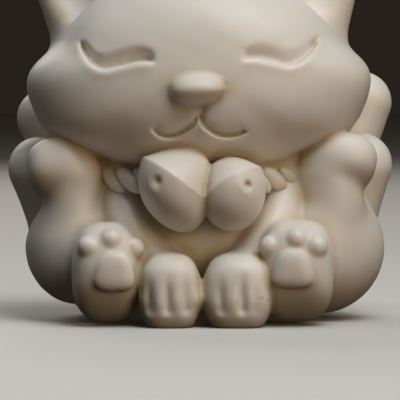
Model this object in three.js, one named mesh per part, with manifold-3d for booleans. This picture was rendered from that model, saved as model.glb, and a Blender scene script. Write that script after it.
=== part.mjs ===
// A small fox with nine tails, carved in one piece from an ivory nut. It sits with the soles of its
// hind feet forward and its front paws together, its eyes closed, two round bells hanging from a
// twisted rope under its chin, and its tails fanned round its sides and back.
// Millimetres, +Z up. The fox looks along -Y, and x is positive towards its own left ear.
import * as THREE from "three";
import { mergeVertices } from "three/addons/utils/BufferGeometryUtils.js";
import Module from "manifold-3d";

const wasm = await Module();
wasm.setup();

// Driving dimensions.
const headCentre = [0, -1, 27.2];
const headHalf = [15.6, 13, 11.3]; // half width, depth and height without the cheeks
const cheekOut = 3.3; // how far the cheeks stand out of the head's outline
const bodyBack = 1; // where the body's axis is along y
const tailRadius = 3.4;
const tailRing = 17.5; // distance of a side tail's tip from the body's axis
const pawHalf = [3.35, 3.55, 3.7];
const soleHalf = [3.85, 4.4, 5.3];
const bellRadius = 3.8;
const ropeRadius = 1.05;
const eyeGroove = 0.5; // radius of the tool's mark along a closed eye
const mouthGroove = 0.32;
const tableBlock = 100; // side of the block that cuts the foot flat
const weldDistance = 1e-4; // vertices nearer than this are one

const ivory = { colour: 0xe6dcc8, roughness: 0.42, metalness: 0 };

// The carving is cut by hand, so its two sides differ a little. Eyes and mouth are lines on the
// face as [x, z], the arm and the front tail are [x, y, z, radius], and the sole's pads are [x, z]
// from its middle. Paw furrows are their distances from the paw's middle. All are mirrored for
// side -1, the fox's right, but for what has a place of its own under at.
const sides = [
  {
    side: -1,
    earLean: 0.7,
    eye: [[12.7, 29.7], [12.1, 28.4], [11, 27.5], [9.6, 27.25], [7.8, 27.8], [5, 28.1]],
    mouth: [[0, 21.9], [0.9, 20.4], [2.6, 19.45], [4.2, 19.8], [5, 20.6]],
    arm: [[8, -5.4, 15.6, 2.2], [7.9, -7.6, 11.6, 2.2], [6.3, -9.6, 8.3, 2.6], [4.2, -11.3, 5.2, 2.6]],
    haunch: { at: [-12.2, -1.6, 7.9], half: [6.9, 8.4, 6.3] },
    frontTail: [[12.8, -4, 9.8, 4.9], [13.4, -5, 13, 3.5], [14.1, -5.4, 15.4, 3.6], [15, -5.4, 17.3, 3.3]],
    sideTail: { out: 1, tip: 15.9 },
    cheekTail: { out: 1.12, tip: 21.6 },
    backTail: { out: 0.87, tip: 25.4 },
    paw: { at: [-3.15, -13.2, 3.6], furrows: [-1.8, 0.45, 2.3] },
    sole: { at: [-9.75, -11.4, 5.55], pad: [0.85, 0.25], toes: [[-2.05, 2.7], [0.25, 3.65], [2.75, 2.9]] },
    bell: { at: [-2.45, -12.9, 14.15], half: [1.03, 1, 1.1], hole: [-0.46, -0.87, 0.2], bore: 0.55 },
  },
  {
    side: 1,
    earLean: 0.1,
    eye: [[12.6, 30.1], [12, 28.9], [10.9, 27.9], [9.5, 27.6], [7.6, 28.1], [5, 28.3]],
    mouth: [[0, 21.9], [0.9, 20.3], [2.7, 19.2], [4.3, 19.5], [5.3, 20.4]],
    arm: [[9, -5.4, 15.6, 2.2], [8.6, -7.6, 12, 2.2], [7, -9.6, 8.3, 2.5], [5, -11.3, 5.2, 2.6]],
    haunch: { at: [12.9, -1.6, 7.8], half: [6.8, 8.4, 7.2] },
    frontTail: [[13.3, -4, 9.9, 5], [13.9, -5, 13.3, 3.7], [14.4, -5.4, 15.8, 3.9], [15, -5.4, 17.7, 3.6]],
    sideTail: { out: 1.02, tip: 16.4 },
    cheekTail: { out: 1.19, tip: 23.2 },
    backTail: { out: 0.88, tip: 25.9 },
    paw: { at: [4.1, -13.1, 3.7], furrows: [-2.25, -0.75, 1.05] },
    sole: { at: [10.25, -11.4, 5.7], pad: [-0.4, 0.1], toes: [[-2.85, 2.75], [-0.15, 3.6], [2.15, 2.8]] },
    bell: { at: [3.5, -12.5, 13.7], half: [0.95, 0.95, 0.98], hole: [0.38, -0.9, 0.22], bore: 0.38 },
  },
];

const radians = THREE.MathUtils.degToRad;
const vector = (a) => new THREE.Vector3(...a);
const mirrored = (points, side) => points.map(([x, ...rest]) => [side * x, ...rest]);

// A closed geometry as a solid that can be joined and cut.
function solidOf(geometry) {
  const bare = geometry.index ? geometry.toNonIndexed() : geometry.clone();
  bare.deleteAttribute("normal");
  bare.deleteAttribute("uv");
  const merged = mergeVertices(bare, weldDistance);
  return new wasm.Manifold(
    new wasm.Mesh({
      numProp: 3,
      vertProperties: merged.attributes.position.array,
      triVerts: new Uint32Array(merged.index.array),
    }),
  );
}

// A solid as a geometry that can be drawn.
function geometryOf(solid) {
  const mesh = solid.getMesh();
  const geometry = new THREE.BufferGeometry();
  const spots = new Float32Array(mesh.vertProperties);
  geometry.setAttribute("position", new THREE.BufferAttribute(spots, 3));
  geometry.setIndex(new THREE.BufferAttribute(new Uint32Array(mesh.triVerts), 1));
  geometry.computeVertexNormals();
  return geometry;
}

const join = (solids) => solids.reduce((all, one) => all.add(one));

// Moves each vertex of a geometry to the place that place(vertex) gives.
function reshape(geometry, place) {
  const spot = geometry.attributes.position;
  const vertex = new THREE.Vector3();
  for (let i = 0; i < spot.count; i++) {
    const moved = place(vertex.fromBufferAttribute(spot, i));
    spot.setXYZ(i, moved.x, moved.y, moved.z);
  }
  return geometry;
}

// An ellipsoid of the given half sizes, leaned by degrees about y.
function egg({ at, half, lean = 0, around = 14, along = 9 }) {
  const geometry = new THREE.SphereGeometry(1, around, along);
  geometry.rotateX(Math.PI / 2);
  geometry.scale(...half);
  geometry.rotateY(radians(lean));
  return solidOf(geometry.translate(...at));
}

// A round-ended limb through points [x, y, z, radius]. Its section is widened by broad across the
// thin direction, and its last end is flattened where blunt is under 1.
function limb({ points, thin = [0, -1, 0], broad = 1, blunt = 1, around = 10, along = 5, cap = 3 }) {
  const path = new THREE.CatmullRomCurve3(points.map((p) => vector(p.slice(0, 3))), false, "catmullrom");
  const girths = points.map((p) => new THREE.Vector3(p[3], 0, 0));
  const girth = new THREE.CatmullRomCurve3(girths, false, "catmullrom");
  const reach = along / 2;
  const capsule = new THREE.CapsuleGeometry(1, 2 * reach, cap, around, along);
  const bent = reshape(capsule, (v) => {
    const straight = THREE.MathUtils.clamp(v.y, -reach, reach);
    const share = (straight + reach) / (2 * reach);
    const radius = girth.getPoint(share).x;
    const over = (v.y - straight) * radius * (v.y > 0 ? blunt : 1);
    const ahead = path.getTangent(share);
    const side = ahead.clone().cross(vector(thin)).normalize();
    const front = side.clone().cross(ahead);
    return path
      .getPoint(share)
      .addScaledVector(side, v.x * broad * radius)
      .addScaledVector(front, v.z * radius)
      .addScaledVector(ahead, over);
  });
  return solidOf(bent);
}

// 1 at value 0, fading to nothing over width. A higher power has a flatter top and steeper sides.
const fade = (value, width, power = 2) => Math.exp(-(Math.abs(value / width) ** power));

// The head's outline from the front is an ellipse with a cheek and a jaw on each side, given by
// the angle above the horizontal in degrees. The cheeks fade out towards the back of the head.
const cheek = { angle: -12.5, width: 18.5, power: 4, depth: 0.62 };
const jaw = { angle: -48, width: 17, out: 1.5 };

function outlineRadius(angle, back) {
  const [across, up] = [Math.cos(radians(angle)) / headHalf[0], Math.sin(radians(angle)) / headHalf[2]];
  const cheekBack = cheekOut * fade(back, cheek.depth);
  const cheekHere = cheekBack * fade(angle - cheek.angle, cheek.width, cheek.power);
  const jawHere = jaw.out * fade(angle - jaw.angle, jaw.width);
  return 1 / Math.hypot(across, up) + cheekHere + jawHere;
}

// The distance from the head's centre to its surface in one direction.
const headSquareness = 2.6;
const muzzle = { towards: [0, -0.86, -0.5], out: 2, width: 0.5 };

function headRadius(direction) {
  const { x, y, z } = direction;
  const angle = THREE.MathUtils.radToDeg(Math.atan2(z, Math.abs(x)));
  const across = Math.hypot(x, z) / outlineRadius(angle, Math.max(y, 0));
  const deep = Math.abs(y) / headHalf[1];
  const skull = (across ** headSquareness + deep ** headSquareness) ** (-1 / headSquareness);
  return skull + muzzle.out * fade(direction.distanceTo(vector(muzzle.towards).normalize()), muzzle.width);
}

function makeHead() {
  const geometry = new THREE.SphereGeometry(1, 32, 20).rotateX(Math.PI / 2);
  const head = reshape(geometry, (v) => {
    const direction = v.clone().normalize();
    return vector(headCentre).addScaledVector(direction, headRadius(direction));
  });
  return solidOf(head);
}

// The y of the face's surface at a given x and z, found by halving.
function faceAt(x, z) {
  let [outside, inside] = [-2 * headHalf[1], 0];
  for (let i = 0; i < 30; i++) {
    const y = (outside + inside) / 2;
    const offset = new THREE.Vector3(x, y, z - headCentre[2]);
    if (offset.length() > headRadius(offset.clone().normalize())) outside = y;
    else inside = y;
  }
  return headCentre[1] + inside;
}

// An ear is a flat cone with a hollow scooped out of its front. Its lean moves the tip by two
// leans outwards, and turns the scoop by some degrees for each millimetre.
const earLine = [[11, 0.2, 33, 3.5], [13.5, 0.6, 38.2, 2.6], [16, 1, 44.3, 0.9]];
const earBroad = 1.58; // width over thickness
const earScoop = { at: [13, -2.9, 37.4], half: [2.7, 3.1, 6.4], lean: 23, turn: 3 };

function makeEar({ side, earLean }) {
  const leaning = earLine.map(([x, ...rest], i) => [x + i * earLean, ...rest]);
  const shell = limb({ points: mirrored(leaning, side), broad: earBroad });
  const [x, y, z] = earScoop.at;
  const scoop = egg({
    at: [side * (x + earLean), y, z],
    half: earScoop.half,
    lean: side * (earScoop.lean + earScoop.turn * earLean),
    around: 12,
    along: 8,
  });
  return shell.subtract(scoop);
}

// The nose is a short bar across the face, thicker, lower and further forward in the middle.
const nose = { height: 24.6, sunk: 0.15, spread: 1.4, radius: 1.35, middle: 1.55, lift: 0.2, bow: 0.1 };

function makeNose() {
  const y = faceAt(0, nose.height) + nose.sunk;
  const nostril = (side) => [side * nose.spread, y, nose.height + nose.lift, nose.radius];
  return limb({ points: [nostril(-1), [0, y - nose.bow, nose.height, nose.middle], nostril(1)] });
}

// The closed eyes and the mouth are grooves along lines on the face, narrower at their ends.
const grooveEnd = 0.6;

function groove(line, side, radius) {
  const points = mirrored(line, side).map(([x, z], i) => {
    const end = i === 0 || i === line.length - 1;
    return [x, faceAt(x, z), z, radius * (end ? grooveEnd : 1)];
  });
  return limb({ points, thin: [0, 0, 1], around: 5, along: 7, cap: 1 });
}

const makeEye = ({ side, eye }) => groove(eye, side, eyeGroove);
const makeMouth = ({ side, mouth }) => groove(mouth, side, mouthGroove);

// A bell is a ball with a seam standing out round its middle and a drilled sound hole, which runs
// between two shares of the radius.
const seam = { pole: [0.57, -0.12, -0.81], out: 0.06, width: 0.2 };
const holeReach = [0.6, 1.3];

function makeBell({ side, bell }) {
  const pole = vector(mirrored([seam.pole], side)[0]).normalize();
  const geometry = new THREE.SphereGeometry(1, 15, 12);
  geometry.applyQuaternion(new THREE.Quaternion().setFromUnitVectors(new THREE.Vector3(0, 1, 0), pole));
  const ball = reshape(geometry, (v) => {
    const stretch = bellRadius * (1 + seam.out * fade(v.dot(pole), seam.width));
    return vector(bell.half).multiply(v).multiplyScalar(stretch).add(vector(bell.at));
  });
  return solidOf(ball);
}

function makeBellHole({ bell }) {
  const out = vector(bell.hole).normalize();
  const points = holeReach.map((share) => {
    const spot = vector(bell.at).addScaledVector(out, share * bellRadius);
    return [...spot.toArray(), bell.bore];
  });
  return limb({ points, thin: [0, 0, 1], around: 8, along: 1, cap: 2 });
}

// The rope is a row of slanting strands on an arc round the throat, from where the bells hide it
// to the front tails.
const rope = { height: 15.4, half: [12, 9.9], back: -1, turns: [27, 39, 51, 63] };
const strand = { slant: 0.95, length: 1.7, end: 0.5 * ropeRadius };

function makeStrand(degrees) {
  const [wide, deep] = rope.half;
  const [sine, cosine] = [Math.sin(radians(degrees)), Math.cos(radians(degrees))];
  const centre = [wide * sine, rope.back - deep * cosine, rope.height];
  const round = new THREE.Vector3(wide * cosine, deep * sine, 0).normalize();
  const reach = round.setZ(-strand.slant).setLength(strand.length);
  const [start, end] = [-1, 1].map((way) => vector(centre).addScaledVector(reach, way).toArray());
  const points = [[...start, strand.end], [...centre, ropeRadius], [...end, strand.end]];
  return limb({ points, thin: [0, 0, 1], around: 5, along: 3, cap: 1 });
}

const makeRope = ({ side }) => rope.turns.map((degrees) => makeStrand(side * degrees));

const trunk = { at: [0, bodyBack + 1, 10], half: [14, 11.5, 13] };
const belly = { at: [0, -2.6, 10.5], half: [8, 6.4, 8], around: 12 };
const makeTorso = () => [egg(trunk), egg(belly)];

const makeArm = ({ side, arm }) => limb({ points: mirrored(arm, side) });

// A paw is an egg with furrows between its toes, cut through shares of its half height.
const furrow = { heights: [0.55, 0.1, -0.4], radius: 0.33 };

function makePaw({ paw }) {
  const cuts = paw.furrows.map((x) => {
    const points = furrow.heights.map((share) => {
      const y = pawHalf[1] * Math.sqrt(1 - (x / pawHalf[0]) ** 2 - share ** 2);
      return [paw.at[0] + x, paw.at[1] - y, paw.at[2] + share * pawHalf[2], furrow.radius];
    });
    return limb({ points, thin: [1, 0, 0], around: 4, along: 2, cap: 1 });
  });
  return egg({ at: paw.at, half: pawHalf }).subtract(join(cuts));
}

// A sole faces forward, with one large pad and three toe pads.
const mainPad = { half: [2.1, 1, 1.95], sunk: 0.3, around: 10, along: 7 };
const toePad = { half: [0.9, 0.8, 0.9], sunk: 0.15, around: 7, along: 5 };

function makeSole({ sole }) {
  const raised = ([x, z], { half, sunk, around, along }) => {
    const y = soleHalf[1] * Math.sqrt(1 - (x / soleHalf[0]) ** 2 - (z / soleHalf[2]) ** 2);
    return egg({ at: [sole.at[0] + x, sole.at[1] - y + sunk, sole.at[2] + z], half, around, along });
  };
  return join([
    egg({ at: sole.at, half: soleHalf, along: 10 }),
    raised(sole.pad, mainPad),
    ...sole.toes.map((toe) => raised(toe, toePad)),
  ]);
}

// A front tail rises from the haunch beside the cheek and ends in a flattened tip.
const tipLength = 0.6; // length of the rounded tip over its radius
const makeHaunch = ({ haunch }) => egg({ ...haunch, around: 16 });

function makeFrontTail({ side, frontTail }) {
  return limb({ points: mirrored(frontTail, side), blunt: tipLength });
}

// The other tails stand round the body. From the root to the tip: the share of the height, of the
// distance from the body's axis and of the radius, and the lag behind the tip's turn in degrees.
const tailShape = [
  { up: 0, out: 0.66, girth: 0.95, lag: 16 },
  { up: 0.3, out: 0.81, girth: 1.2, lag: 9 },
  { up: 0.65, out: 0.88, girth: 1.1, lag: 4 },
  { up: 1, out: 1, girth: 0.94, lag: 0 },
];
const tailRoot = 3.2; // height of the middle of a root
const tailBroad = 1.18; // width over thickness
const tailTurns = { sideTail: 92, cheekTail: 119, backTail: 149 }; // degrees from straight ahead
const middleTail = { out: 0.8, tip: 27.8 };

function makeTail(turn, side, { out, tip }) {
  const points = tailShape.map((stage) => {
    const angle = radians(side * (turn + (turn < 180 ? stage.lag : 0)));
    const distance = tailRing * stage.out * (1 + (out - 1) * stage.up);
    const [x, y] = [distance * Math.sin(angle), bodyBack - distance * Math.cos(angle)];
    return [x, y, tailRoot + stage.up * (tip - tailRoot), tailRadius * stage.girth];
  });
  const facing = radians(side * turn);
  return limb({ points, thin: [Math.sin(facing), -Math.cos(facing), 0], broad: tailBroad });
}

const makeSideTails = (half) =>
  Object.entries(tailTurns).map(([name, turn]) => makeTail(turn, half.side, half[name]));
const makeMiddleTail = () => makeTail(180, 1, middleTail);

// Everything under the table plane is cut away, which leaves the flat foot it stands on.
const belowTable = () =>
  solidOf(new THREE.BoxGeometry(tableBlock, tableBlock, tableBlock).translate(0, 0, -tableBlock / 2));

function makeHalf(half) {
  return [
    makeEar(half),
    makeArm(half),
    makeSole(half),
    makePaw(half),
    makeHaunch(half),
    makeFrontTail(half),
    ...makeSideTails(half),
    ...makeRope(half),
    makeBell(half),
  ];
}

function makeFox() {
  const figure = join([makeHead(), ...makeTorso(), makeMiddleTail(), ...sides.flatMap(makeHalf)]);
  const cuts = [makeEye, makeMouth, makeBellHole].flatMap((make) => sides.map(make));
  return figure.subtract(join([...cuts, belowTable()])).add(makeNose());
}

const material = new THREE.MeshStandardMaterial({
  color: ivory.colour,
  roughness: ivory.roughness,
  metalness: ivory.metalness,
});

const geometry = geometryOf(makeFox());
geometry.computeBoundingBox();
const middle = geometry.boundingBox.getCenter(new THREE.Vector3());

const fox = new THREE.Mesh(geometry, material);
fox.name = "nine_tailed_fox";
fox.position.set(-middle.x, -middle.y, 0);

const group = new THREE.Group();
group.add(fox);

export default group;
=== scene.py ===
# A small fox with nine tails, carved in one piece from an ivory nut
import math

import bpy
import numpy as np
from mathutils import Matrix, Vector


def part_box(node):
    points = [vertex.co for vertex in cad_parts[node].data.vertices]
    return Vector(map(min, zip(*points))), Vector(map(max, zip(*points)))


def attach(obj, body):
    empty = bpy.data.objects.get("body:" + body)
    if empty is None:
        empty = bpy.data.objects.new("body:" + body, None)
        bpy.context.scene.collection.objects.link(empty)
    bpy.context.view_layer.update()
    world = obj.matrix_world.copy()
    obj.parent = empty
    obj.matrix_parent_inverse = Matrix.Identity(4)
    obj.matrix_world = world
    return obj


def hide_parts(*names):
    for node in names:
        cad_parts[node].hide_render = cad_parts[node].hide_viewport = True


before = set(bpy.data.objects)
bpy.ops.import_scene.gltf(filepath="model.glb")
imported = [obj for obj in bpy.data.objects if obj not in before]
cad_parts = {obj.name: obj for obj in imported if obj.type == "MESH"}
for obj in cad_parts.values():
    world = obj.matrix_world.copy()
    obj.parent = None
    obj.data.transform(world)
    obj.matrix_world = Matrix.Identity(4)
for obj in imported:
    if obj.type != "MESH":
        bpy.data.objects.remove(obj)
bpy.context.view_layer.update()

cadLow, cadHigh = [np.array(corner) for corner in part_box("nine_tailed_fox")]
mm = 0.001
tiny = 1e-4  # keeps what is raised to a power off zero
print("frame loaded, box", cadLow, cadHigh)

# The nut that the carving is cut from: a grid of distances to the surface, positive outside.
# Shapes are in millimetres, with the fox looking along -y and its chin over x = 0
nut = dict(
    low=(-21.8, -18.0, -0.6),
    high=(22.8, 19.6, 46.4),
    step=0.2,
    reach=3.0,  # distances are kept up to this
    edge=0.15,  # rounding of each cut and joint that has none of its own
    triangles=190000,
)


# The lesser of two distances, rounded off where they differ by less than 1.5 times the blend
def smoothMin(a, b, blend):
    near = np.maximum(1 - np.abs(a - b) / (1.5 * blend), 0)
    return np.minimum(a, b) - near**3 * blend / 4


# 0 before start and 1 past end, with no corner at either
def smoothStep(value, start, end):
    share = np.clip((value - start) / (end - start), 0, 1)
    return share * share * (3 - 2 * share)


# 1 at 0, fading to nothing over width. A higher power has a flatter top and steeper sides
def fade(value, width, power=2):
    return np.exp(-np.abs(value / width) ** power)


# 1 more than a millimetre ahead of the y called front, and 0 behind it
def ahead(y, front):
    return smoothStep(-y, -front, 1 - front)


def unit(vector):
    return np.array(vector) / np.linalg.norm(vector)


def mirrored(points, side):
    return [(side * x, *rest) for x, *rest in points]


class Nut:
    def __init__(self):
        self.low, self.step = np.array(nut["low"]), nut["step"]
        self.axes = [
            np.arange(a, b, self.step, dtype=np.float32) for a, b in zip(nut["low"], nut["high"])
        ]
        self.field = np.full([len(axis) for axis in self.axes], nut["reach"], np.float32)

    # the part of the grid that lies within reach of a box, with its coordinates
    def near(self, low, high, reach=nut["reach"]):
        cuts = [
            slice(*np.searchsorted(axis, (a - reach, b + reach)))
            for axis, a, b in zip(self.axes, low, high)
        ]
        x, y, z = [axis[cut] for axis, cut in zip(self.axes, cuts)]
        return tuple(cuts), x[:, None, None], y[None, :, None], z[None, None, :]

    def add(self, shape, blend=nut["edge"]):
        distance, low, high = shape
        part, x, y, z = self.near(low, high)
        self.field[part] = smoothMin(self.field[part], distance(x, y, z), blend)

    def cut(self, shape, blend=nut["edge"]):
        distance, low, high = shape
        part, x, y, z = self.near(low, high)
        self.field[part] = -smoothMin(-self.field[part], distance(x, y, z), blend)

    # sinks the surface by an amount for each place, or raises it where that is negative
    def sink(self, amount, low, high):
        part, x, y, z = self.near(low, high, 0)
        self.field[part] += amount(x, y, z)

    # the distances at a list of places, between those of the grid
    def at(self, places):
        spots = (places - self.low) / self.step
        spots = np.clip(spots, 0, np.array(self.field.shape) - 1.001)  # within the last cell
        cell = spots.astype(int)
        share = spots - cell
        total = np.zeros(len(places))
        for corner in np.ndindex(2, 2, 2):
            weight = np.prod(np.where(corner, share, 1 - share), axis=1)
            total += weight * self.field[tuple((cell + corner).T)]
        return total

    # how far the surface is from a place inside, in a direction
    def reachOf(self, place, way, farthest=12, step=0.02):
        reaches = np.arange(0, farthest, step)
        distances = self.at(place + np.outer(reaches, way))
        return reaches[np.argmax(distances > 0)]

    # the surface as corners and four-sided faces: one corner in each cell that it passes through
    def surface(self):
        places, cells, backward = [], [], []
        shape = np.array(self.field.shape)
        for axis in range(3):
            here = np.moveaxis(self.field, axis, 0)
            crossing = (here[:-1] < 0) != (here[1:] < 0)
            spots = np.argwhere(crossing)
            first, second = here[:-1][crossing], here[1:][crossing]
            order = [0, 1, 2]
            order.insert(axis, order.pop(0))
            places.append((spots + np.outer(first / (first - second), (1, 0, 0)))[:, order])
            spots = spots[:, order]
            u, v = np.roll(np.eye(3, dtype=int), axis, 1)[1:]
            ring = [spots, spots - u, spots - u - v, spots - v]
            cells.append(np.stack([np.ravel_multi_index(cell.T, shape) for cell in ring], 1))
            backward.append(first > 0)
        places, cells, backward = map(np.concatenate, (places, cells, backward))
        faces = np.unique(cells, return_inverse=True)[1].reshape(-1, 4)
        count = np.bincount(faces.ravel())
        corners = [np.bincount(faces.ravel(), np.repeat(p, 4)) / count for p in places.T]
        faces[backward] = faces[backward, ::-1]
        return np.stack(corners, 1) * self.step + self.low, faces


# An ellipsoid leaned by degrees about y, and with its top leaned back about x. A square over 2
# makes it boxier, and a taper makes it narrower towards its top
def egg(at, half, lean=0, back=0, square=2, taper=0):
    turn, tip = math.radians(lean), math.radians(back)

    def distance(x, y, z):
        x, y, z = x - at[0], y - at[1], z - at[2]
        x, z = x * math.cos(turn) - z * math.sin(turn), x * math.sin(turn) + z * math.cos(turn)
        y, z = y * math.cos(tip) - z * math.sin(tip), y * math.sin(tip) + z * math.cos(tip)
        spots = (x * (1 + taper * z / half[2]), y, z)
        shares = [np.abs(spot) / size + tiny for spot, size in zip(spots, half)]
        size = sum(share**square for share in shares) ** (1 / square)
        slope = sum((share ** (square - 1) / h) ** 2 for share, h in zip(shares, half)) ** 0.5
        return (size - 1) * size ** (square - 1) / slope

    wide = half[0] / (1 - abs(taper))
    longest = max(wide, *half[1:])
    spread = [longest if lean or back else size for size in (wide, *half[1:])]
    return distance, np.subtract(at, spread), np.add(at, spread)


# The y of a shape's surface at a place seen from the front
def frontOf(shape, x, z, halvings=30):
    distance, low, high = shape
    outside, inside = low[1] - 1, (low[1] + high[1]) / 2
    for _ in range(halvings):
        y = (outside + inside) / 2
        if distance(x, y, z) > 0:
            outside = y
        else:
            inside = y
    return inside


# The places on a smooth curve that passes through each of some points
def along(points, steps):
    points = np.array(points, float)
    ends = [2 * points[0] - points[1], *points, 2 * points[-1] - points[-2]]
    share = (np.arange(steps) / steps)[:, None]
    places = []
    for a, b, c, d in zip(ends, ends[1:], ends[2:], ends[3:]):
        bend = (2 * a - 5 * b + 4 * c - d) * share**2 + (3 * b - 3 * c + d - a) * share**3
        places.append(b + 0.5 * ((c - a) * share + bend))
    return np.concatenate([*places, points[-1:]])


# A limb is a chain of round-ended segments, whose radii run into each other: the nearer a segment
# is to a place, the more it counts there
limbs = dict(
    steps=10,  # segments between two of a limb's points
    nearness=4,  # how fast a segment counts less with each millimetre
    farthest=18,  # beyond this many millimetres all segments count the same
)


# A limb through points (x, y, z, radius). Its section is widened by broad across the thin direction
def limb(points, thin=(0, -1, 0), broad=1):
    path = along(points, limbs["steps"]).astype(np.float32)

    def distance(x, y, z):
        nearest, radius, weights = np.float32(np.inf), 0, 0
        for a, b in zip(path, path[1:]):
            length = float(np.linalg.norm(b[:3] - a[:3]))
            run = (b[:3] - a[:3]) / length
            side = unit(np.cross(run, thin))
            px, py, pz = x - a[0], y - a[1], z - a[2]
            forward = px * run[0] + py * run[1] + pz * run[2]
            across = px * side[0] + py * side[1] + pz * side[2]
            share = np.clip(forward / length, 0, 1)
            over = forward - share * length
            off = px * px + py * py + pz * pz - forward * forward
            off = off - across * across * (1 - broad**-2)
            far = np.sqrt(np.maximum(off + over * over, 1e-9))
            nearest = np.minimum(nearest, far)
            weight = np.exp(-limbs["nearness"] * np.minimum(far, limbs["farthest"]))
            radius = radius + weight * (a[3] + share * (b[3] - a[3]))
            weights = weights + weight
        return nearest - radius / weights

    spread = path[:, 3:] * max(broad, 1)
    return distance, (path[:, :3] - spread).min(0), (path[:, :3] + spread).max(0)


# Two shapes run together, so that they join what else there is as one
def merged(first, second, blend):
    def distance(x, y, z):
        return smoothMin(first[0](x, y, z), second[0](x, y, z), blend)

    return distance, np.minimum(first[1], second[1]), np.maximum(first[2], second[2])


# The head is a rounded block whose outline from the front is an ellipse with a cheek and a jaw on
# each side, given by the angle above the horizontal in degrees
head = dict(
    centre=(0, -1, 27.2),
    half=(15.6, 13, 11.3),
    cheekOut=3.3,
    cheekAngle=-13.2,
    cheekWidths=(17.7, 24),  # above its angle and below
    cheekPower=4,
    cheekDepth=0.62,
    jawOut=1.1,
    jawAngle=-51,
    jawWidth=17,
    square=2.6,
    sides=(0.1, 1.05),  # where cheeks and jaws begin, from the front
    muzzleTo=(0, -0.86, -0.5),
    muzzleOut=0.4,
    muzzleWidth=0.9,
    chinOut=0.165,  # how much the face leans forward towards its chin
    roll=0.9,  # degrees that its left side is higher
    slant=0.9,  # the straight way to the surface over the way along a radius, on the whole
    room=1.5,  # added to its depth for the leaning face
)


def headRadius(x, y, z):
    roll = math.radians(head["roll"])
    x, z = x * math.cos(roll) + z * math.sin(roll), z * math.cos(roll) - x * math.sin(roll)
    y = y - head["chinOut"] * z
    length = np.sqrt(x * x + y * y + z * z) + 1e-6
    x, y, z = x / length, y / length, z / length
    wide, deep, tall = head["half"]
    angle = np.arctan2(z, np.abs(x))
    oval = 1 / np.hypot(np.cos(angle) / wide, np.sin(angle) / tall)
    angle = np.degrees(angle)
    over = angle - head["cheekAngle"]
    width = np.where(over > 0, *head["cheekWidths"])
    cheek = head["cheekOut"] * fade(over, width, head["cheekPower"])
    cheek = cheek * fade(np.maximum(y, 0), head["cheekDepth"])
    jaw = head["jawOut"] * fade(angle - head["jawAngle"], head["jawWidth"])
    square = head["square"]
    outward = np.hypot(x, z)
    across = outward / (oval + (cheek + jaw) * smoothStep(outward, *head["sides"]))
    skull = (across**square + (np.abs(y) / deep) ** square) ** (-1 / square)
    to = unit(head["muzzleTo"])
    off = np.sqrt((x - to[0]) ** 2 + (y - to[1]) ** 2 + (z - to[2]) ** 2)
    return skull + head["muzzleOut"] * fade(off, head["muzzleWidth"])


def headShape():
    middle = head["centre"]

    def distance(x, y, z):
        x, y, z = x - middle[0], y - middle[1], z - middle[2]
        sheared = y - head["chinOut"] * z
        return head["slant"] * (np.sqrt(x * x + sheared * sheared + z * z) - headRadius(x, y, z))

    spread = np.add(head["half"], (head["cheekOut"], head["muzzleOut"] + head["room"], 0))
    return distance, np.subtract(middle, spread), np.add(middle, spread)


# What differs from side to side, for the fox's right and left. It is hand work, so neither
# mirrors the other. The points of the eye, the mouth, the arm and the front tail are mirrored for
# the right, and all the rest stands as it is given
right = dict(
    side=-1,
    eyeDeep=1.12,  # the depth of its eye as a share of the face's
    earLean=1.02,  # millimetres outwards from each of the ear's points to the next
    eye=[  # x and z, from the nose outwards
        (4.4, 27.4),
        (6, 27.5),
        (8.1, 27.05),
        (9.9, 26.7),
        (11.3, 27.3),
        (12.2, 28.6),
        (12.7, 29.9),
    ],
    mouth=[(0, 21.5), (0.75, 20.55), (2.1, 19.78), (3.15, 19.6), (4.2, 19.85), (5.05, 20.65)],
    arm=[  # x, y, z and radius, as in each limb
        (8, -5.4, 15.6, 2.2),
        (7.9, -7.6, 11.6, 2.2),
        (6.3, -9.6, 8.3, 2.6),
        (4.2, -11.3, 5.2, 2.6),
    ],
    haunch=dict(at=(-12.2, -1.6, 7.7), half=(6.55, 8, 5.6)),
    frontTail=[
        (13, -5, 6.6, 4.5),
        (13.2, -5.3, 9.2, 4.5),
        (13.5, -6.5, 12.8, 3),
        (13.4, -6.7, 15.4, 3.15),
    ],
    tailTip=dict(at=(-14.9, -6.1, 16.3), half=(3.5, 3.8, 3), lean=-10, back=24),  # the front tail's
    sideTail=(1.01, 16.2, 0),  # out, tip and foot, which tail explains
    cheekTail=(1.115, 21.6, -1.2),
    backTail=(0.87, 25.4, 0),
    paw=dict(  # its furrows are x, and a share of the depth
        x=-3.0,
        half=(3.2, 3.6, 4.2),
        furrows=[(-5.05, 1), (-3.2, 1), (-1.3, 0.8)],
    ),
    sole=dict(at=(-9.7, -11.4, 5.4), half=(3.7, 4.3, 5.4), square=2.6),
    pad=(0.9, 0.45),  # x and z from the middle of the sole
    toes=[(-1.85, 2.95), (0.5, 3.7), (2.9, 2.75)],
)
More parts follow.
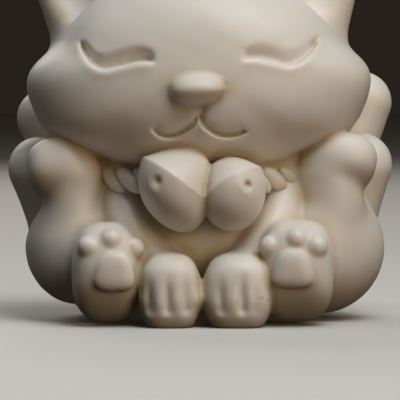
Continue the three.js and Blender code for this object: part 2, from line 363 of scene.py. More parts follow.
left = dict(
    side=1,
    eyeDeep=0.84,
    earLean=0.2,
    eye=[
        (4.5, 27.6),
        (6.1, 27.8),
        (8, 27.4),
        (9.5, 27.1),
        (11, 27.7),
        (12.2, 28.9),
        (13, 30.4),
    ],
    mouth=[(0, 21.5), (0.6, 20.7), (1.8, 19.87), (3.2, 19.62), (4.4, 19.85), (5.2, 20.3)],
    arm=[
        (9, -5.4, 15.6, 2.2),
        (8.6, -7.6, 12, 2.2),
        (7, -9.6, 8.3, 2.5),
        (5, -11.3, 5.2, 2.6),
    ],
    haunch=dict(at=(12.85, -1.6, 7.7), half=(7.35, 8, 7.15)),
    frontTail=[
        (13.4, -5.4, 6.6, 3.6),
        (13.6, -5.9, 9.2, 3.6),
        (14.6, -6.8, 12.8, 2.9),
        (13.9, -6.5, 15.4, 3.4),
    ],
    tailTip=dict(at=(15.3, -6.1, 17.1), half=(3.8, 3.8, 2.75), lean=11, back=24),
    sideTail=(1.03, 16.6, 0.8),
    cheekTail=(1.2, 23.4, 1.4),
    backTail=(0.88, 25.9, 0),
    paw=dict(
        x=4.1,
        half=(3.55, 3.6, 4.25),
        furrows=[(2.4, 0.9), (4.6, 1), (5.95, 0.35)],
    ),
    sole=dict(at=(10.25, -11.4, 5.5), half=(4.0, 4.3, 5.5), square=2.85),
    pad=(-0.4, 0.65),
    toes=[(-2.8, 2.85), (0.0, 3.65), (2.1, 2.85)],
)

body = dict(
    trunk=dict(at=(0, 2, 10), half=(14, 11.5, 13)),
    belly=dict(at=(0, -3.6, 9.4), half=(8.2, 7.2, 8.6)),
    shoulder=dict(at=(10.4, -3.4, 15.2), half=(3, 3.4, 3)),
    neck=1.2,  # how softly the head, trunk and belly run together
    armBlend=1.3,
)


def addBody(carving):
    carving.add(headShape())
    carving.add(egg(**body["trunk"]), body["neck"])
    carving.add(egg(**body["belly"]), body["neck"])
    for side in (-1, 1):
        shoulder = body["shoulder"]
        carving.add(egg(mirrored([shoulder["at"]], side)[0], shoulder["half"]), body["neck"])


# Seven tails stand round the body, one of them in the middle of the back, and a front tail grows
# out of each haunch
tails = dict(
    back=1,  # how far the middle of their ring is behind that of the body
    ring=17.5,
    root=3.2,
    radius=3.4,
    broad=1.18,
    bulge=1.8,  # with this, a foot is all there at its fullest
    crease=0.25,
    haunchBlend=2.2,
    tipBlend=1.2,
    tipSquare=2.5,
    turns=dict(sideTail=92, cheekTail=119, backTail=149),  # degrees from the front
    middle=(0.8, 27.8, 0),
    # from root to tip: the share of the height, of the distance from the ring's middle and of the
    # radius, and the degrees that it lags behind the tip
    stages=[(0, 0.66, 0.95, 16), (0.3, 0.81, 1.2, 9), (0.65, 0.88, 1.1, 4), (1, 1, 0.94, 0)],
)


# The share of the ring at its tip is out, the height of its tip is tip, and its lower part is
# further out by foot
def tail(turn, side, out, tip, foot):
    points = []
    for up, share, girth, lag in tails["stages"]:
        angle = math.radians(side * (turn + (lag if turn < 180 else 0)))
        bulge = foot * (1 - up) * (0.5 + up) * tails["bulge"]
        distance = tails["ring"] * share * (1 + (out - 1) * up) + bulge
        x, y = distance * math.sin(angle), tails["back"] - distance * math.cos(angle)
        points.append((x, y, tails["root"] + up * (tip - tails["root"]), tails["radius"] * girth))
    facing = math.radians(side * turn)
    return limb(points, (math.sin(facing), -math.cos(facing), 0), tails["broad"])


def addTails(carving):
    carving.add(tail(180, 1, *tails["middle"]), tails["crease"])
    for half in (right, left):
        for name, turn in tails["turns"].items():
            carving.add(tail(turn, half["side"], *half[name]), tails["crease"])
        front = limb(mirrored(half["frontTail"], half["side"]))
        front = merged(front, egg(**half["tailTip"], square=tails["tipSquare"]), tails["tipBlend"])
        thigh = merged(egg(**half["haunch"]), front, tails["haunchBlend"])
        carving.add(thigh, tails["crease"])


# An ear is a broad limb with a hollow scooped out of its front, which turns with its lean
ears = dict(
    line=[(11.4, 0.4, 32.5, 3.5), (13.7, 0.6, 38.2, 2.6), (16, 1, 44.3, 0.9)],
    broad=1.5,
    blend=1.8,
    scoop=(14.2, -3.6, 38.6),
    scoopHalf=(3.3, 2.9, 7),
    scoopLean=21,
    scoopTurn=3,
    scoopBlend=1.6,
)


def addEars(carving):
    for half in (right, left):
        side, lean = half["side"], half["earLean"]
        line = [(x + place * lean, *rest) for place, (x, *rest) in enumerate(ears["line"])]
        carving.add(limb(mirrored(line, side), broad=ears["broad"]), ears["blend"])
        x, y, z = ears["scoop"]
        turn = side * (ears["scoopLean"] + ears["scoopTurn"] * lean)
        carving.cut(egg((side * (x + lean), y, z), ears["scoopHalf"], turn), ears["scoopBlend"])


# Seen from the front: how far above a line on the face each place is, and its share of the way
# along the line, which runs outwards
def fromLine(x, z, line, side):
    path = along(mirrored(line, side), face["steps"])
    pieces = len(path) - 1
    nearest, above, share = np.float32(np.inf), 0, 0
    for place, (a, b) in enumerate(zip(path, path[1:])):
        run = b - a
        reach = float(np.linalg.norm(run))
        run = run / reach
        forward = (x - a[0]) * run[0] + (z - a[1]) * run[1]
        aside = side * ((z - a[1]) * run[0] - (x - a[0]) * run[1])
        over = forward - np.clip(forward, 0, reach)
        far = np.hypot(over, aside)
        closer = far < nearest
        above = np.where(closer, np.sign(aside) * far, above)
        share = np.where(closer, (place + np.clip(forward / reach, 0, 1)) / pieces, share)
        nearest = np.minimum(nearest, far)
    return above, share


# A closed eye and each half of the mouth are steps: a facet over the line slants in towards it,
# and the surface comes out again at once under it, in a lip. The facet is narrower at its ends
face = dict(
    front=-8,  # only what is ahead of this y is cut
    steps=6,  # pieces between two points of a line
    eye=dict(
        box=((1, -17, 24), (17, 0, 34)),
        depth=1.0,
        facet=1.95,  # how far up from the line it slants
        soft=0.7,  # 0 for a straight slant, and more for a hollow one
        rise=(-0.24, 0.28),  # from the bottom of the step to its edge, measured upwards
        lip=0.09,
        lipWidth=0.5,
        fadeIn=0.09,  # the shares of the line in which it starts and ends
        fadeOut=0.16,
        widen=(0.65, 0.2),  # the facet's share at the start, and where it has its full width
        narrow=(0.4, 0.5),  # the same from the end
    ),
    mouth=dict(
        box=((0, -18, 17), (7, 0, 23.5)),
        depth=0.58,
        facet=1.25,
        soft=0.4,
        rise=(-0.16, 0.2),
        lip=0.07,
        lipWidth=0.36,
        fadeIn=0,
        fadeOut=0.08,
        widen=(0.6, 0.3),
        narrow=(0.85, 0.2),
    ),
    philtrum=dict(
        box=((-2, -18, 20), (2, 0, 24.5)),
        x=0.28,
        top=23.4,
        foot=21.5,
        ends=0.3,
        depth=0.42,
        width=0.36,
        wider=0.3,  # at its top
    ),
    noseAt=(-0.05, 24.55),
    noseHalf=(2.85, 1.9, 1.7),
    noseTaper=0.06,
    noseSkew=0.3,  # how far its lower half goes aside
    noseBox=2.15,  # how square it is from the front
    noseWedge=1.6,  # and from the side, where it has a ridge
    noseSlant=0.8,
    noseBlend=0.35,
)


def step(half, line):
    cut = face[line]

    def amount(x, y, z):
        above, share = fromLine(x, z, half[line], half["side"])
        (atStart, wideBy), (atEnd, narrowFrom) = cut["widen"], cut["narrow"]
        width = cut["facet"] * (atStart + (1 - atStart) * smoothStep(share, 0, wideBy))
        width = width * (atEnd + (1 - atEnd) * smoothStep(1 - share, 0, narrowFrom))
        inward = np.clip(1 - above / width, 0, 1)
        deep = cut["depth"] * (half["eyeDeep"] if line == "eye" else 1)
        facet = deep * inward * inward * (1 + cut["soft"]) / (inward + cut["soft"])
        lip = cut["lip"] * fade(above + cut["lipWidth"], cut["lipWidth"])
        ends = smoothStep(share, 0, cut["fadeIn"]) if cut["fadeIn"] else 1
        ends = ends * smoothStep(1 - share, 0, cut["fadeOut"]) * ahead(y, face["front"])
        return (facet * smoothStep(above, *cut["rise"]) - lip) * ends

    return amount


def noseShape():
    x, z = face["noseAt"]
    y = frontOf(headShape(), x, z)
    half, box, wedge = face["noseHalf"], face["noseBox"], face["noseWedge"]

    def distance(px, py, pz):
        across, out, up = px - x, py - y, pz - z
        across = across - face["noseSkew"] * np.minimum(up, 0)
        across = np.abs(across) / (half[0] * (1 + face["noseTaper"] * up / half[2])) + tiny
        profile = (np.abs(out) / half[1]) ** wedge + (np.abs(up) / half[2]) ** wedge + tiny
        size = (across**box + profile ** (box / wedge)) ** (1 / box)
        return (size - 1) * half[1] * face["noseSlant"]

    return distance, np.subtract((x, y, z), half), np.add((x, y, z), half)


def addFace(carving):
    for half in (right, left):
        for line in ("eye", "mouth"):
            low, high = np.array(face[line]["box"])
            if half["side"] < 0:
                low[0], high[0] = -high[0], -low[0] - carving.step / 2
            carving.sink(step(half, line), low, high)
    fold = face["philtrum"]

    def philtrum(x, y, z):
        length = smoothStep(z, fold["foot"] - fold["ends"], fold["foot"] + fold["ends"])
        length = length * smoothStep(-z, -fold["top"] - fold["ends"], -fold["top"])
        width = fold["width"] + fold["wider"] * (z - fold["foot"]) / (fold["top"] - fold["foot"])
        return fold["depth"] * fade(x - fold["x"], width) * length * ahead(y, face["front"])

    carving.sink(philtrum, *fold["box"])
    carving.add(noseShape(), face["noseBlend"])


paws = dict(
    y=-13.1,
    z=3.5,
    square=2.7,
    blend=0.9,
    heel=dict(y=-11.4, z=2, half=(-0.35, 3, 2.6)),  # how much narrower it is, its depth and height
    reach=4.4,  # how far from the paw's middle the furrows may go
    top=6.3,  # the height where they have run out
    tip=2.9,  # where they start to, at the tips of the toes
    foot=1.6,  # where they begin, and over what height each way
    ends=0.5,
    depth=0.42,
    width=0.5,
    sharp=1.7,  # the power of their fade
    swell=0.14,
    tipTall=1.1,
)
soles = dict(
    back=1,
    blend=0.4,
    under=(-14.9, 2.9, 50),  # where they turn under: y, z, and by how many degrees
    underBlend=2.2,
    padHalf=(2.0, 0.95, 2.05),
    padSquare=2.7,
    padTaper=0.24,
    padBack=1,
    padOut=0.66,
    toeRadius=1.15,
    toeOut=0.55,
    rim=0.3,
)


def addLegs(carving):
    for half in (right, left):
        side, paw = half["side"], half["paw"]
        carving.add(limb(mirrored(half["arm"], side)), body["armBlend"])
        at = (paw["x"], paws["y"], paws["z"])
        carving.add(egg(at, paw["half"], square=paws["square"]), paws["blend"])
        narrower, deep, tall = paws["heel"]["half"]
        heel = (paw["half"][0] + narrower, deep, tall)
        carving.add(egg((paw["x"], paws["heel"]["y"], paws["heel"]["z"]), heel), paws["blend"])
        carving.sink(furrows(paw), np.subtract(at, paws["reach"]), np.add(at, paws["reach"]))
        sole = turnedUnder(egg(back=soles["back"], **half["sole"]))
        carving.add(sole, soles["blend"])
        for spot in half["toes"]:
            toe = onSole(half, sole, spot, 3 * (soles["toeRadius"],), soles["toeOut"])
            carving.add(toe, soles["rim"])
        looks = dict(back=soles["padBack"], square=soles["padSquare"], taper=soles["padTaper"])
        pad = onSole(half, sole, half["pad"], soles["padHalf"], soles["padOut"], **looks)
        carving.add(pad, soles["rim"])


# A shape with its lower front edge taken off
def turnedUnder(shape):
    distance, low, high = shape
    front, foot, turn = soles["under"]
    out, down = math.cos(math.radians(turn)), math.sin(math.radians(turn))

    def cut(x, y, z):
        beyond = (front - y) * out + (foot - z) * down
        return -smoothMin(-distance(x, y, z), -beyond, soles["underBlend"])

    return cut, low, high


# The lines between a paw's toes, and the swelling of the toes' tips between them
def furrows(paw):
    def amount(x, y, z):
        length = smoothStep(z, paws["foot"] - paws["ends"], paws["foot"] + paws["ends"])
        length = length * smoothStep(-z, -paws["top"], -paws["tip"])
        cuts = sum(deep * fade(x - at, paws["width"], paws["sharp"]) for at, deep in paw["furrows"])
        tips = paws["swell"] * (1 - np.minimum(cuts, 1)) * fade(z - paws["tip"], paws["tipTall"])
        return (paws["depth"] * cuts * length - tips) * ahead(y, paws["y"])

    return amount


# A pad at a place on a sole, standing out of it by a length
def onSole(half, sole, spot, size, out, **looks):
    x, z = half["sole"]["at"][0] + spot[0], half["sole"]["at"][2] + spot[1]
    return egg((x, frontOf(sole, x, z) + size[1] - out, z), size, **looks)


# A bell is a dome over a bowl, which meet at an edge. The pole points from its middle to the
# bottom of the bowl. The dome and the bowl go aside along the edge by their shifts, and the dome
# comes to the edge more slanted with a higher crease
bells = [
    dict(
        at=(-2.44, -12.3, 14.9),
        pole=(-0.582, -0.134, -0.803),
        radius=4.36,
        dome=4.2,
        bowl=4.26,
        crease=0.9,
        square=2.3,
        shifts=(0.1, 0.31),
        hole=(-0.455, -0.887, 0.073),
        bore=0.5,
    ),
    dict(
        at=(3.57, -12.5, 14.33),
        pole=(0.512, -0.317, -0.797),
        radius=3.74,
        dome=3.35,
        bowl=4.24,
        crease=0.7,
        square=2,
        shifts=(0, -0.19),
        hole=(0.458, -0.88, 0.124),
        bore=0.36,
    ),
]
bellWork = dict(
    lip=0.08,  # how far the dome's edge stands out, and its width
    lipWidth=0.5,
    slant=0.9,
    reach=1.4,  # the bell's farthest place from its middle over its radius
    blend=0.12,
    holeDeep=0.45,
    holeOut=1,
    dish=(0.57, 0.76),  # its radius is a length and a share of the bore
    dishDeep=0.06,
    dishReach=2,
    rim=0.08,
    rimAt=1.15,  # shares of the dish's radius
    rimWidth=0.28,
    rimDown=0.7,  # how much the rim turns to below the hole
    rimFrom=(0.2, 1),
)


def bellShape(bell):
    pole = unit(bell["pole"])
    aside = unit((-pole[2], 0, pole[0]))
    radius, crease, square = bell["radius"], bell["crease"], bell["square"]

    def distance(x, y, z):
        x, y, z = x - bell["at"][0], y - bell["at"][1], z - bell["at"][2]
        down = x * pole[0] + y * pole[1] + z * pole[2]
        across = x * aside[0] + z * aside[2]
        shift = np.where(down > 0, bell["shifts"][1], bell["shifts"][0]) * np.abs(down)
        off = x * x + y * y + z * z - down * down - across * across + (across - shift) ** 2
        off = np.sqrt(np.maximum(off, 1e-6)) / radius
        up = np.maximum(-down, 0) / bell["dome"]
        size = off * off + crease * up + (1 - crease) * up * up
        slope = (crease + 2 * (1 - crease) * up) / bell["dome"]
        dome = (size - 1) / np.hypot(2 * off / radius, slope)
        down = np.maximum(down, 0)
        size = (off**square + (down / bell["bowl"]) ** square + tiny) ** (1 / square)
        lip = bellWork["lip"] * fade(up * bell["dome"], bellWork["lipWidth"])
        return np.where(down > 0, (size - 1) * bellWork["slant"] * radius, dome - lip)

    reach = bellWork["reach"] * bell["radius"]
    return distance, np.subtract(bell["at"], reach), np.add(bell["at"], reach)


# A bell's hole, in a shallow dish whose rim stands out below it and towards the fox's right
def addHole(carving, bell):
    out, bore = unit(bell["hole"]), bell["bore"]
    mouth = out * carving.reachOf(bell["at"], out) + bell["at"]
    length, bores = bellWork["dish"]

    def dish(x, y, z):
        away = np.sqrt((x - mouth[0]) ** 2 + (y - mouth[1]) ** 2 + (z - mouth[2]) ** 2)
        share = away / (length + bores * bore)
        aside = mouth[0] - x + bellWork["rimDown"] * (mouth[2] - z)
        rim = fade(share - bellWork["rimAt"], bellWork["rimWidth"])
        rim = rim * smoothStep(aside, *bellWork["rimFrom"])
        return bellWork["dishDeep"] * np.maximum(1 - share * share, 0) - bellWork["rim"] * rim

    carving.sink(dish, mouth - bellWork["dishReach"], mouth + bellWork["dishReach"])
    depths = (bellWork["holeDeep"] - bore, -bellWork["holeOut"])
    path = [(*(mouth - out * depth), bore) for depth in depths]
    carving.cut(limb(path, thin=(0, 0, 1)), bellWork["blend"])


def addBells(carving):
    for bell in bells:
        carving.add(bellShape(bell), bellWork["blend"])
    for bell in bells:
        addHole(carving, bell)


# The twisted rope is a core with a row of slanting strands on it, on an arc round the throat,
# from where the bells hide it to the front tails
rope = dict(
    height=15.1,
    half=(12.2, 10.5),
    back=-1,
    spans=[(-70.5, -26), (20, 64)],  # degrees from the front
    points=24,  # of the line that the strands follow, in each span
    spacing=1.75,
    length=1.95,
    radius=0.92,
    slant=37,
    segments=32,  # of the ball that a strand is made from
    rings=20,
    core=1.1,
    coreUp=0.3,
    coreSunk=1.0,
    coreBlend=0.9,
    corePoints=7,
    shade=0.5,  # how shut in the strands are where they go into the fox, which warms and darkens them there as painted shade
    shadeReach=0.9,
)


def addRopeCore(carving):
    for start, end in rope["spans"]:
        spots = ropeSpots(start, end, rope["corePoints"], rope["coreSunk"])
        spots = [(x, y, z + rope["coreUp"], rope["core"]) for x, y, z in spots]
        carving.add(limb(spots), rope["coreBlend"])


# Places on the rope's arc round the throat, between two turns in degrees from the front
def ropeSpots(start, end, count, sunk=0):
    turns = np.radians(np.linspace(start, end, count))
    wide, deep = np.subtract(rope["half"], sunk)
    return [(wide * math.sin(t), rope["back"] - deep * math.cos(t), rope["height"]) for t in turns]


# Slow waves that the hand leaves in a smooth surface, and the flat that it stands on
hand = dict(
    waves=0.015,
    lengths=(5.3, 7.1, 4.3),
    bend=1.3,  # how much the waves bend with the height
    foot=0.12,  # rounding of the flat's edge
)


def finishNut(carving):
    def waves(x, y, z):
        a, b, c = [2 * math.pi / length for length in hand["lengths"]]
        aside = np.sin(a * x + hand["bend"] * np.sin(b * z))
        return hand["waves"] * aside * np.sin(b * y + c * z)

    carving.sink(waves, nut["low"], nut["high"])
    underTable = (lambda x, y, z: z, nut["low"], (*nut["high"][:2], 1))
    carving.cut(underTable, np.float32(hand["foot"]))


def meshOf(name, corners, faces):
    mesh = bpy.data.meshes.new(name)
    mesh.from_pydata(corners.tolist(), [], faces.tolist())
    mesh.polygons.foreach_set("use_smooth", np.ones(len(mesh.polygons), bool))
    piece = bpy.data.objects.new(name, mesh)
    bpy.context.collection.objects.link(piece)
    return piece


# The piece's mesh as its modifiers leave it, without them
def settle(piece):
    graph = bpy.context.evaluated_depsgraph_get()
    mesh = bpy.data.meshes.new_from_object(piece.evaluated_get(graph))
    piece.modifiers.clear()
    if piece.type == "MESH":
        piece.data = mesh
        return piece
    name = piece.name
    bpy.data.objects.remove(piece)
    settled = bpy.data.objects.new(name, mesh)
    bpy.context.collection.objects.link(settled)
    return settled


def carveFox():
    carving = Nut()
    addBody(carving)
    addTails(carving)
    addEars(carving)
    addLegs(carving)
    addRopeCore(carving)
    addBells(carving)
    addFace(carving)
    finishNut(carving)
    print("nut carved", carving.field.shape)
    corners, faces = carving.surface()
    fox = meshOf("nineTailedFox", corners, faces)
    thin = fox.modifiers.new("thin", "DECIMATE")
    thin.ratio = nut["triangles"] / (2 * len(faces))
    fox = settle(fox)
    print("surface", len(faces), "faces, thinned to", len(fox.data.polygons))
    return carving, fox


def coordinates(mesh, kind="co"):
    values = np.empty(len(mesh.vertices) * 3)
    if kind == "co":
        mesh.vertices.foreach_get("co", values)
    else:
        mesh.vertex_normals.foreach_get("vector", values)
    return values.reshape(-1, 3)


def attribute(mesh, name, values):
    layer = mesh.attributes.new(name, "FLOAT", "POINT")
    layer.data.foreach_set("value", values.astype(np.float32))


# How shut in each place on the surface is, and how much it stands out, from 0 to 1, tried at some
# distances outside the surface and inside
shelter = dict(outside=(0.3, 0.7, 1.4), inside=(0.25, 0.5))


# The hollow share warms and darkens the colour in the creases, partly as a stain and partly as
# painted shade
def markHollows(carving, mesh):
    places, normals = coordinates(mesh), coordinates(mesh, "normal")
    shut = [1 - carving.at(places + normals * way) / way for way in shelter["outside"]]
    proud = [1 + carving.at(places - normals * way) / way for way in shelter["inside"]]
    attribute(mesh, "hollow", np.clip(np.mean(shut, 0), 0, 1))
    attribute(mesh, "proud", np.clip(np.mean(proud, 0), 0, 1))


# From the carving's own millimetres to the frame, so that the fox fills the frame's box
class Place:
    def __init__(self, corners):
        low, high = corners.min(0), corners.max(0)
        self.scale = (cadHigh - cadLow) / (high - low)
        self.shift = cadLow - low * self.scale

    def __call__(self, spots):
        return np.array(spots) * self.scale + self.shift


def moveTo(mesh, spots):
    mesh.vertices.foreach_set("co", spots.ravel())
    mesh.update()


carving, fox = carveFox()
markHollows(carving, fox.data)
place = Place(coordinates(fox.data))
moveTo(fox.data, place(coordinates(fox.data)))
print("placed, scale", place.scale / mm, "shift", place.shift / mm)


# A socket that takes part in sums
class Sum:
    def __init__(self, maker, socket):
        self.maker, self.socket = maker, socket

    def math(self, operation, *values):
        settings = dict(operation=operation)
        return self.maker.make("ShaderNodeMath", settings, dict(enumerate(values))).out()

    def __add__(self, other):
        return self.math("ADD", self, other)

    def __sub__(self, other):
        return self.math("SUBTRACT", self, other)

    def __rsub__(self, other):
        return self.math("SUBTRACT", other, self)

    def __mul__(self, other):
        return self.math("MULTIPLY", self, other)

    def __truediv__(self, other):
        return self.math("DIVIDE", self, other)

    __radd__ = __add__
    __rmul__ = __mul__

    # 0 below low and 1 above high
    def between(self, low, high):
        share = (self - low) / (high - low)
        return self.math("MINIMUM", self.math("MAXIMUM", share, 0.0), 1.0)


class Made:
    def __init__(self, maker, node):
        self.maker, self.node = maker, node

    def out(self, name=0):
        return Sum(self.maker, self.node.outputs[name])


class Maker:
    def __init__(self, tree):
        self.tree = tree

    # a node of a type, with its settings and the values or links of its sockets
    def make(self, kind, settings=None, sockets=None):
        node = self.tree.nodes.new(kind)
        for name, value in (settings or {}).items():
            setattr(node, name, value)
        for name, value in (sockets or {}).items():
            if isinstance(value, Sum):
                self.tree.links.new(value.socket, node.inputs[name])
            else:
                node.inputs[name].default_value = value
        return Made(self, node)

    # two colours mixed: 0, 6 and 7 are the node's sockets for the share and the colours
    def mix(self, share, first, second):
        settings = dict(data_type="RGBA", blend_type="MIX", clamp_factor=True)
        return self.make("ShaderNodeMix", settings, {0: share, 6: first, 7: second}).out(2)

    def vector(self, operation, *values):
        settings = dict(operation=operation)
        return self.make("ShaderNodeVectorMath", settings, dict(enumerate(values)))

    def noise(self, where, scale, detail=2.0, roughness=0.5):
        sockets = dict(Vector=where, Scale=scale, Detail=detail, Roughness=roughness)
        return self.make("ShaderNodeTexNoise", None, sockets).out("Fac")


ivory = dict(
    cream=(0.865, 0.815, 0.745, 1),
    pale=(0.89, 0.85, 0.79, 1),
    warm=(0.52, 0.4, 0.19, 1),
    mottle=(160, 3.0),  # patches to a metre, and the noise's detail and roughness
    grain=(2600, 4.0, 0.6),
    ripple=(900, 2.0),
    patches=(0.35, 0.65),  # the mottle at which it is all cream, and all pale
    stainAndShadeSpan=(0.04, 0.55),  # how shut in it is where the warm stain and painted shade in the hollows begin, and where they are full
    stainAndShadeStrength=0.6,
    stainAndShadeMottle=0.3,
    chipped=0.45,
    roughness=0.37,
    roughGrain=0.12,
    roughHollow=0.15,
    smoothProud=0.05,
    bumps=dict(ripple=0.7, grain=0.3, chip=4),
    bump=0.25,
    bumpDeep=0.00006,
    refraction=1.5,
    glow=0.6,
    glowScale=0.0008,
    glowReach=(1.0, 0.65, 0.35),
)

# Small chips on the nose, the soles and the toes, seen from the front: x, z and radius
chips = dict(
    spots=[
        (2.8, 25.2, 0.26),
        (2.55, 25.6, 0.14),
        (-8.4, 3.9, 0.22),
        (-8, 3.85, 0.14),
        (6.6, 3.1, 0.2),
        (7.3, 2.85, 0.16),
        (-9.3, 10.0, 0.11),
    ],
    grain=5000,
    ragged=0.35,
    reach=1.3,  # where a chip has faded away, over its radius
    soft=0.6,  # and how much of that it fades over
)


# 1 in each chip, with a ragged edge
def chipMarks(maker, where):
    ragged = (maker.noise(where, chips["grain"]) - 0.5) * chips["ragged"] * mm
    marks = 0
    for x, z, radius in chips["spots"]:
        aside = maker.vector("SUBTRACT", where, place((x, 0, z)))
        flat = maker.vector("MULTIPLY", aside.out(), (1, 0, 1))
        far = maker.vector("LENGTH", flat.out()).out("Value")
        share = (far + ragged) / (radius * mm)
        marks = marks + (chips["reach"] - share).between(0, chips["soft"])
    y = maker.make("ShaderNodeSeparateXYZ", None, {0: where}).out("Y")
    return marks * (0 - y / mm).between(-face["front"], 1 - face["front"])


def makeIvory():
    material = bpy.data.materials.new("ivoryNut")
    material.use_nodes = True
    material.node_tree.nodes.clear()
    maker = Maker(material.node_tree)
    where = maker.make("ShaderNodeTexCoord").out("Object")
    hollow = maker.make("ShaderNodeAttribute", dict(attribute_name="hollow")).out("Fac")
    proud = maker.make("ShaderNodeAttribute", dict(attribute_name="proud")).out("Fac")
    mottle = maker.noise(where, *ivory["mottle"])
    grain = maker.noise(where, *ivory["grain"])
    colour = maker.mix(mottle.between(*ivory["patches"]), ivory["cream"], ivory["pale"])
    # Warmer and darker in the hollows: partly a stain that gathers there, partly painted shade in
    # the creases
    stainAndShade = hollow + (mottle - 0.5) * ivory["stainAndShadeMottle"] * hollow
    stainAndShade = stainAndShade.between(*ivory["stainAndShadeSpan"]) * ivory["stainAndShadeStrength"]
    colour = maker.mix(stainAndShade, colour, ivory["warm"])
    chipped = chipMarks(maker, where)
    colour = maker.mix(chipped * ivory["chipped"], colour, ivory["warm"])
    roughness = ivory["roughness"] + (grain - 0.5) * ivory["roughGrain"]
    roughness = roughness + hollow * ivory["roughHollow"] - proud * ivory["smoothProud"]
    ripple = maker.noise(where, *ivory["ripple"])
    bumps = ivory["bumps"]
    height = ripple * bumps["ripple"] + grain * bumps["grain"] - chipped * bumps["chip"]
    sockets = dict(Strength=ivory["bump"], Distance=ivory["bumpDeep"], Height=height)
    bump = maker.make("ShaderNodeBump", None, sockets)
    sockets = {
        "Base Color": colour,
        "Roughness": roughness,
        "Normal": bump.out(),
        "IOR": ivory["refraction"],
        "Subsurface Weight": ivory["glow"],
        "Subsurface Radius": ivory["glowReach"],
        "Subsurface Scale": ivory["glowScale"],
    }
    shader = maker.make("ShaderNodeBsdfPrincipled", None, sockets)
    maker.make("ShaderNodeOutputMaterial", None, dict(Surface=shader.out()))
    return material


ivoryNut = makeIvory()
fox.data.materials.append(ivoryNut)
print("fox finished")


# The line that the strands follow, left out where the bells hide it
def ropePath():
    curve = bpy.data.curves.new("rope", "CURVE")
    curve.dimensions = "3D"
    for start, end in rope["spans"]:
        spots = place(ropeSpots(start, end, rope["points"]))
        spline = curve.splines.new("POLY")
        spline.points.add(len(spots) - 1)
        for point, spot in zip(spline.points, spots):
            point.co = (*spot, 1)
    piece = bpy.data.objects.new("twistedRope", curve)
    bpy.context.collection.objects.link(piece)
    return piece


# Strands at even spacing along a curve, each a ball stretched along it and leaned by the slant
def ropeTree():
    tree = bpy.data.node_groups.new("strandsAlong", "GeometryNodeTree")
    plugs = [("Curve", "INPUT", "Geometry")]
    plugs += [(name, "INPUT", "Float") for name in ("Spacing", "Length", "Radius", "Slant")]
    plugs += [("Material", "INPUT", "Material"), ("Strands", "OUTPUT", "Geometry")]
    for name, way, kind in plugs:
        tree.interface.new_socket(name, in_out=way, socket_type="NodeSocket" + kind)
    maker = Maker(tree)
    given = maker.make("NodeGroupInput")
    sockets = dict(Curve=given.out("Curve"), Length=given.out("Spacing"))
    points = maker.make("GeometryNodeCurveToPoints", dict(mode="LENGTH"), sockets)
    sockets = dict(Segments=rope["segments"], Rings=rope["rings"], Radius=1.0)
    ball = maker.make("GeometryNodeMeshUVSphere", None, sockets)
    sockets = dict(X=given.out("Length"), Y=given.out("Radius"), Z=given.out("Radius"))
    size = maker.make("ShaderNodeCombineXYZ", None, sockets)
    settings = dict(axis="X", pivot_axis="Z")
    sockets = dict(Vector=points.out("Tangent"))
    turn = maker.make("FunctionNodeAlignRotationToVector", settings, sockets)
    sockets = dict(Points=points.out("Points"), Instance=ball.out("Mesh"))
    sockets.update(Rotation=turn.out("Rotation"), Scale=size.out())
    strands = maker.make("GeometryNodeInstanceOnPoints", None, sockets)
    lean = maker.make("ShaderNodeCombineXYZ", None, dict(Y=given.out("Slant")))
    sockets = {"Instances": strands.out(), "Rotation": lean.out(), "Local Space": True}
    slanted = maker.make("GeometryNodeRotateInstances", None, sockets)
    solid = maker.make("GeometryNodeRealizeInstances", None, dict(Geometry=slanted.out()))
    smooth = maker.make("GeometryNodeSetShadeSmooth", None, dict(Geometry=solid.out()))
    sockets = dict(Geometry=smooth.out(), Material=given.out("Material"))
    painted = maker.make("GeometryNodeSetMaterial", None, sockets)
    maker.make("NodeGroupOutput", None, dict(Strands=painted.out()))
    return tree


def makeRope():
    piece = ropePath()
    twist = piece.modifiers.new("twist", "NODES")
    twist.node_group = ropeTree()
    values = dict(
        Spacing=rope["spacing"] * mm,
        Length=rope["length"] * mm,
        Radius=rope["radius"] * mm,
        Slant=math.radians(rope["slant"]),
        Material=ivoryNut,
    )
    for socket in twist.node_group.interface.items_tree:
        if socket.in_out == "INPUT" and socket.name in values:
            twist[socket.identifier] = values[socket.name]
    return settle(piece)


twistedRope = makeRope()
spots = (coordinates(twistedRope.data) - place.shift) / place.scale
shut = rope["shade"] * np.clip(1 - carving.at(spots) / rope["shadeReach"], 0, 1)
attribute(twistedRope.data, "hollow", shut)
attribute(twistedRope.data, "proud", 0 * shut)
print("rope twisted,", len(twistedRope.data.polygons), "faces")

for piece in (fox, twistedRope):
    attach(piece, "root")
    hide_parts("nine_tailed_fox")

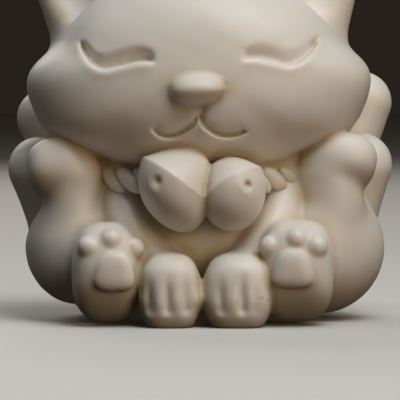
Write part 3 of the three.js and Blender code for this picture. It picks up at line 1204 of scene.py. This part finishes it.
# The plain studio: a pale floor, three cool lights high in front and on the right, a warm one low
# in front, a weak one on the left and one behind. The camera's distance and aim are in the
# carving's millimetres, and all other places are in metres
studio = dict(
    distance=340,
    elevation=2,
    aim=(0.16, 0, 12.7),
    lens=283.8,
    sensor=36,
    clip=(0.01, 20),
    floorHalf=3,
    floorColour=(0.78, 0.75, 0.71, 1),
    floorRoughness=0.7,
    world=(0.62, 0.5, 0.38, 1),
    worldStrength=0.03,
    plainLight=dict(distance=0.5, size=0.25, colour=(0.92, 0.97, 1)),  # where a light says no other
    lights=dict(
        key=dict(to=(0.35, -0.61, 1), power=0.85),
        side=dict(to=(0.87, -0.5, 1), power=0.32),
        top=dict(to=(0.1, -0.19, 1), power=0.45),
        low=dict(to=(0.65, -1, 0.25), power=0.52, colour=(1, 0.7, 0.42)),
        left=dict(to=(-1, -0.1, 1), power=0.3, distance=0.6, size=0.3),
        back=dict(to=(-0.4, 1, 0.8), power=0.8, distance=0.6, size=0.4, colour=(1, 0.95, 0.88)),
    ),
)


def makeFloor():
    half = studio["floorHalf"]
    ways = np.array([(-1, -1, 0), (1, -1, 0), (1, 1, 0), (-1, 1, 0)])
    floor = meshOf("floor", half * ways, np.array([(0, 1, 2, 3)]))
    material = bpy.data.materials.new("paleFloor")
    material.use_nodes = True
    shader = material.node_tree.nodes["Principled BSDF"]
    shader.inputs["Base Color"].default_value = studio["floorColour"]
    shader.inputs["Roughness"].default_value = studio["floorRoughness"]
    floor.data.materials.append(material)
    floor.visible_diffuse = floor.visible_glossy = False  # it throws no light back up


def makeCamera():
    lens = bpy.data.cameras.new("camera")
    lens.lens, lens.sensor_width = studio["lens"], studio["sensor"]
    lens.clip_start, lens.clip_end = studio["clip"]
    camera = bpy.data.objects.new("camera", lens)
    bpy.context.collection.objects.link(camera)
    rise = math.radians(studio["elevation"])
    aim = place(studio["aim"])
    away = studio["distance"] * mm * np.array((0, -math.cos(rise), math.sin(rise)))
    camera.location = aim + away
    camera.rotation_euler = Vector(-away).to_track_quat("-Z", "Y").to_euler()
    bpy.context.scene.camera = camera


def makeLights():
    aim = Vector(place(studio["aim"]))
    for name, light in studio["lights"].items():
        light = {**studio["plainLight"], **light}
        lamp = bpy.data.lights.new(name, "AREA")
        lamp.size, lamp.energy, lamp.color = light["size"], light["power"], light["colour"]
        piece = bpy.data.objects.new(name, lamp)
        bpy.context.collection.objects.link(piece)
        away = Vector(light["to"]).normalized() * light["distance"]
        piece.location = aim + away
        piece.rotation_euler = away.to_track_quat("Z", "Y").to_euler()
    world = bpy.data.worlds.new("studio")
    world.use_nodes = True
    backdrop = world.node_tree.nodes["Background"]
    backdrop.inputs["Color"].default_value = studio["world"]
    backdrop.inputs["Strength"].default_value = studio["worldStrength"]
    bpy.context.scene.world = world
    bpy.context.scene.view_settings.view_transform = "Standard"


makeFloor()
makeCamera()
makeLights()
print("studio set")
